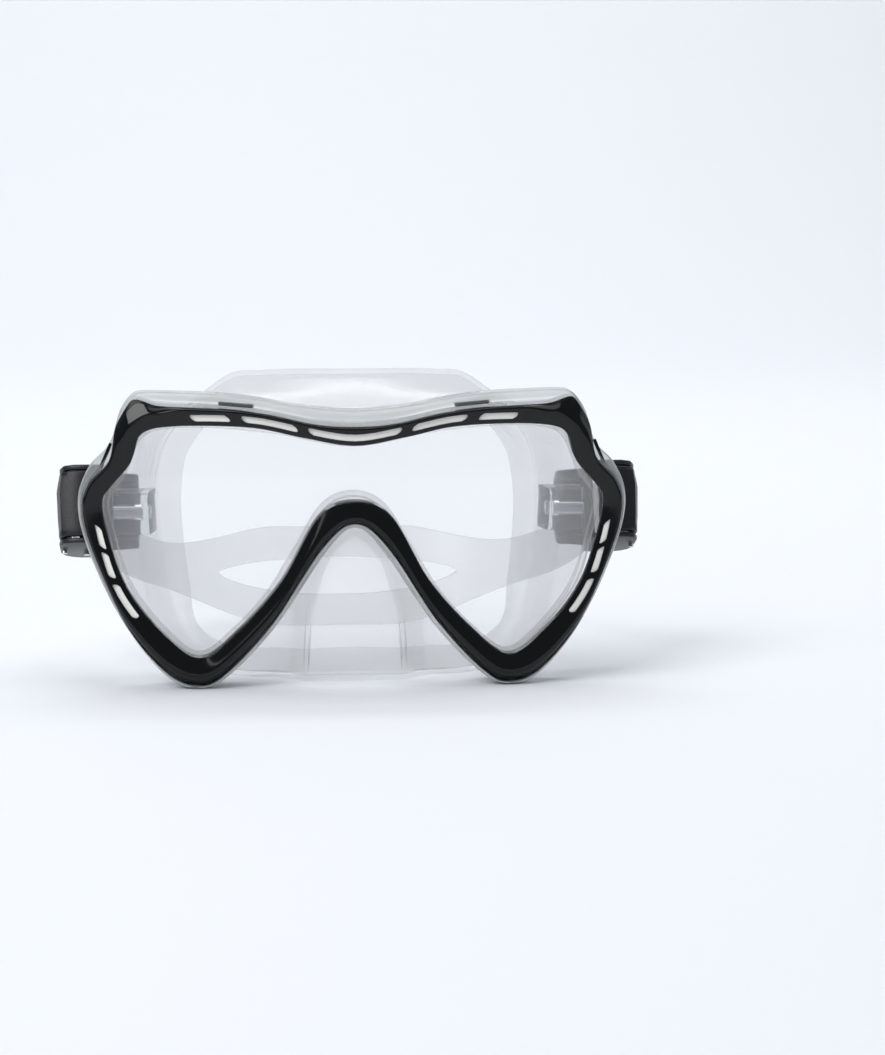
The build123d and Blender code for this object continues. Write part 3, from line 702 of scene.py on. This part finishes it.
def material(name, colour, roughness, bump_scale, bump, variation=0.04, **sockets):
    """Principled material whose roughness, tone and bump vary with fine noise."""
    made = bpy.data.materials.new(name)
    made.use_nodes = True
    nodes, links = made.node_tree.nodes, made.node_tree.links
    shader = nodes["Principled BSDF"]
    for key, value in sockets.items():
        shader.inputs[key.replace("_", " ")].default_value = value
    place = nodes.new("ShaderNodeTexCoord")
    grain = nodes.new("ShaderNodeTexNoise")
    grain.inputs["Scale"].default_value = bump_scale
    grain.inputs["Detail"].default_value = 4
    links.new(place.outputs["Object"], grain.inputs["Vector"])
    cloud = nodes.new("ShaderNodeTexNoise")
    cloud.inputs["Scale"].default_value = 35
    links.new(place.outputs["Object"], cloud.inputs["Vector"])
    tone = nodes.new("ShaderNodeMapRange")
    tone.inputs["To Min"].default_value = 1 - variation
    tone.inputs["To Max"].default_value = 1 + variation
    links.new(cloud.outputs["Fac"], tone.inputs["Value"])
    mix = nodes.new("ShaderNodeVectorMath")
    mix.operation = "SCALE"
    mix.inputs[0].default_value = colour
    links.new(tone.outputs["Result"], mix.inputs["Scale"])
    links.new(mix.outputs["Vector"], shader.inputs["Base Color"])
    rough = nodes.new("ShaderNodeMapRange")
    rough.inputs["To Min"].default_value = roughness * 0.75
    rough.inputs["To Max"].default_value = roughness * 1.25
    links.new(grain.outputs["Fac"], rough.inputs["Value"])
    links.new(rough.outputs["Result"], shader.inputs["Roughness"])
    relief = nodes.new("ShaderNodeBump")
    relief.inputs["Strength"].default_value = bump
    relief.inputs["Distance"].default_value = 0.0002
    links.new(grain.outputs["Fac"], relief.inputs["Height"])
    links.new(relief.outputs["Normal"], shader.inputs["Normal"])
    return made


def hazy(made, haze, edge, gloss, mirrored_share=1.0):
    """Turn a material see-through: its body shows by the haze, more so where it is seen edge-on.
    The body is lit from both sides, and lamps pass through most of it."""
    nodes, links = made.node_tree.nodes, made.node_tree.links
    body = nodes["Principled BSDF"]
    glow = nodes.new("ShaderNodeBsdfTranslucent")
    links.new(body.inputs["Base Color"].links[0].from_socket, glow.inputs["Color"])
    flesh = nodes.new("ShaderNodeMixShader")
    flesh.inputs["Fac"].default_value = GLOW_SHARE
    links.new(body.outputs["BSDF"], flesh.inputs[1])
    links.new(glow.outputs["BSDF"], flesh.inputs[2])
    turn = nodes.new("ShaderNodeLayerWeight")
    turn.inputs["Blend"].default_value = EDGE_BLEND
    amount = nodes.new("ShaderNodeMapRange")
    amount.inputs["To Min"].default_value = haze
    amount.inputs["To Max"].default_value = edge
    links.new(turn.outputs["Facing"], amount.inputs["Value"])
    ray = nodes.new("ShaderNodeLightPath")
    lamp = nodes.new("ShaderNodeMapRange")
    lamp.inputs["To Min"].default_value = 1.0
    lamp.inputs["To Max"].default_value = SHADOW_SHARE
    links.new(ray.outputs["Is Shadow Ray"], lamp.inputs["Value"])
    share = nodes.new("ShaderNodeMath")
    share.operation = "MULTIPLY"
    links.new(amount.outputs["Result"], share.inputs[0])
    links.new(lamp.outputs["Result"], share.inputs[1])
    clear = nodes.new("ShaderNodeBsdfTransparent")
    mix = nodes.new("ShaderNodeMixShader")
    links.new(share.outputs["Value"], mix.inputs["Fac"])
    links.new(clear.outputs["BSDF"], mix.inputs[1])
    links.new(flesh.outputs["Shader"], mix.inputs[2])
    shine = nodes.new("ShaderNodeBsdfGlossy")
    shine.inputs["Roughness"].default_value = gloss
    mirror = nodes.new("ShaderNodeFresnel")
    mirror.inputs["IOR"].default_value = COAT_IOR
    weaker = nodes.new("ShaderNodeMath")
    weaker.operation = "MULTIPLY"
    weaker.inputs[1].default_value = mirrored_share
    links.new(mirror.outputs["Fac"], weaker.inputs[0])
    coat = nodes.new("ShaderNodeMixShader")
    links.new(weaker.outputs["Value"], coat.inputs["Fac"])
    links.new(mix.outputs["Shader"], coat.inputs[1])
    links.new(shine.outputs["BSDF"], coat.inputs[2])
    links.new(coat.outputs["Shader"], nodes["Material Output"].inputs["Surface"])
    return made


def dress(obj, made):
    """Give the object one material."""
    obj.data.materials.clear()
    obj.data.materials.append(made)


BLACK = material("bezel_black", (0.002, 0.002, 0.0025), 0.10, 900, 0.03, Specular_IOR_Level=0.33)
CLEAR = hazy(material("frame_clear", (0.66, 0.70, 0.69), 0.10, 200, 0.0, 0.02), 0.30, 0.80, 0.04)
GLASS = hazy(material("lens_glass", (0.72, 0.74, 0.77), 0.05, 60, 0.0, 0.02), 0.09, 0.16, 0.02, 0.6)
SKIRT = hazy(material("skirt_silicone", (0.76, 0.76, 0.765), 0.30, 260, 0.0, 0.01, Specular_IOR_Level=0.1),
              0.19, 0.26, 0.20, 0.15)
PADS = material("pad_silicone", (0.93, 0.91, 0.86), 0.40, 500, 0.10, 0.02)
STRAP = hazy(material("strap_silicone", (0.84, 0.845, 0.85), 0.34, 400, 0.0, 0.01), 0.34, 0.56, 0.26, 0.35)
ANCHOR = material("anchor_clear", (0.93, 0.96, 0.98), 0.05, 200, 0.0, 0.01, Transmission_Weight=1.0, IOR=1.40)
BUCKLE = material("buckle_plastic", (0.016, 0.016, 0.019), 0.34, 1400, 0.20, Specular_IOR_Level=0.35)
LEVER = material("lever_plastic", (0.015, 0.015, 0.018), 0.36, 1400, 0.25, Specular_IOR_Level=0.30)
ROLLER_GREY = material("roller_plastic", (0.08, 0.08, 0.085), 0.4, 1200, 0.2)
STEEL = material("pin_steel", (0.62, 0.62, 0.63), 0.25, 1600, 0.15, Metallic=1.0)


# ---- build -------------------------------------------------------------------------------------------
bezel = front_bezel()
dress(bezel, BLACK)
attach(bezel, "mask")
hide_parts("front_bezel")

rim = clear_frame()
dress(rim, CLEAR)
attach(rim, "mask")
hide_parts("clear_frame")

skirt = face_skirt()
dress(skirt, SKIRT)
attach(skirt, "mask")
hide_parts("face_skirt")

pads = slot_pads()
dress(pads, PADS)
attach(pads, "mask")

strap = head_strap()
dress(strap, STRAP)
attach(strap, "harness")
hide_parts("head_strap")

dress(frame["nodes"]["lens"], GLASS)
for side, sign in (("right", 1), ("left", -1)):
    for node, piece, made, body in (
            ("buckle_anchor", clear_boss("buckle_anchor_" + side), ANCHOR, "mask"),
            ("buckle_body", buckle_body(sign), BUCKLE, "harness"),
            ("release_lever", release_lever(sign), LEVER, "lever_" + side)):
        piece.name = node + "." + side
        dress(piece, made)
        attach(piece, body)
        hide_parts(node + "_" + side)
    for node, made in (("swivel_pin", STEEL), ("roller_pin", STEEL), ("lever_pin", STEEL),
                       ("lever_spring", STEEL), ("strap_roller", ROLLER_GREY)):
        dress(frame["nodes"][node + "_" + side], made)


# ---- floor, light and camera ---------------------------------------------------------------------------
def backdrop():
    """Pale floor that curves up into a wall far behind."""
    profile = [(-0.62, 0), (1.2, 0)]
    for k in range(1, 13):
        angle = math.pi / 2 * k / 12
        profile.append((1.2 + 1.2 * math.sin(angle), 1.2 - 1.2 * math.cos(angle)))
    profile.append((2.4, 4.0))
    verts = [(x, y, z) for y, z in profile for x in (-4, 4)]
    faces = [(2 * i, 2 * i + 1, 2 * i + 3, 2 * i + 2) for i in range(len(profile) - 1)]
    made = new_object("backdrop", verts, faces, 180)
    dress(made, material("paper", (0.86, 0.88, 0.915), 0.8, 200, 0.0, 0.0))


def area_light(name, where, target, size, power):
    """Soft square light aimed at a point."""
    data = bpy.data.lights.new(name, "AREA")
    data.shape = "RECTANGLE"
    data.size, data.size_y = size
    data.energy = power
    lamp = bpy.data.objects.new(name, data)
    lamp.location = where
    lamp.rotation_mode = "QUATERNION"
    lamp.rotation_quaternion = (Vector(target) - Vector(where)).to_track_quat("-Z", "Y")
    bpy.context.scene.collection.objects.link(lamp)


def camera(distance, azimuth, elevation, aim, lens):
    """Camera round the mask's front, aimed beside it as the picture is composed."""
    data = bpy.data.cameras.new("camera")
    data.lens = lens
    made = bpy.data.objects.new("camera", data)
    a, e = math.radians(azimuth), math.radians(elevation)
    centre = at(0, 0, 46)
    made.location = centre + distance * Vector((math.sin(a) * math.cos(e), -math.cos(a) * math.cos(e),
                                                math.sin(e)))
    made.rotation_mode = "QUATERNION"
    made.rotation_quaternion = (centre + Vector(aim) - made.location).to_track_quat("-Z", "Y")
    bpy.context.scene.collection.objects.link(made)
    bpy.context.scene.camera = made


backdrop()
area_light("key", (-0.9, -1.0, 1.3), (0, 0, 0.03), (0.95, 0.95), 17.5)
area_light("top", (0.1, 0.2, 1.5), (0, 0.1, 0), (1.6, 1.2), 9)
area_light("right", (1.3, 0.2, 0.6), (0, 0, 0.05), (0.8, 1.0), 2)
area_light("wall", (0, 0.9, 1.9), (0, 2.2, 0.6), (2.5, 1.0), 23)
area_light("glint", (-0.45, -0.9, 0.42), (0, 0, 0.03), (0.06, 0.5), 0.25)
world = bpy.data.worlds.new("studio")
world.use_nodes = True
world.node_tree.nodes["Background"].inputs["Color"].default_value = (0.86, 0.92, 1.0, 1)
world.node_tree.nodes["Background"].inputs["Strength"].default_value = 0.26
bpy.context.scene.world = world
bpy.context.scene.view_settings.view_transform = "Standard"
camera(0.9, -3.0, 8.0, (0.0270, 0, 0.0048), 98.9)
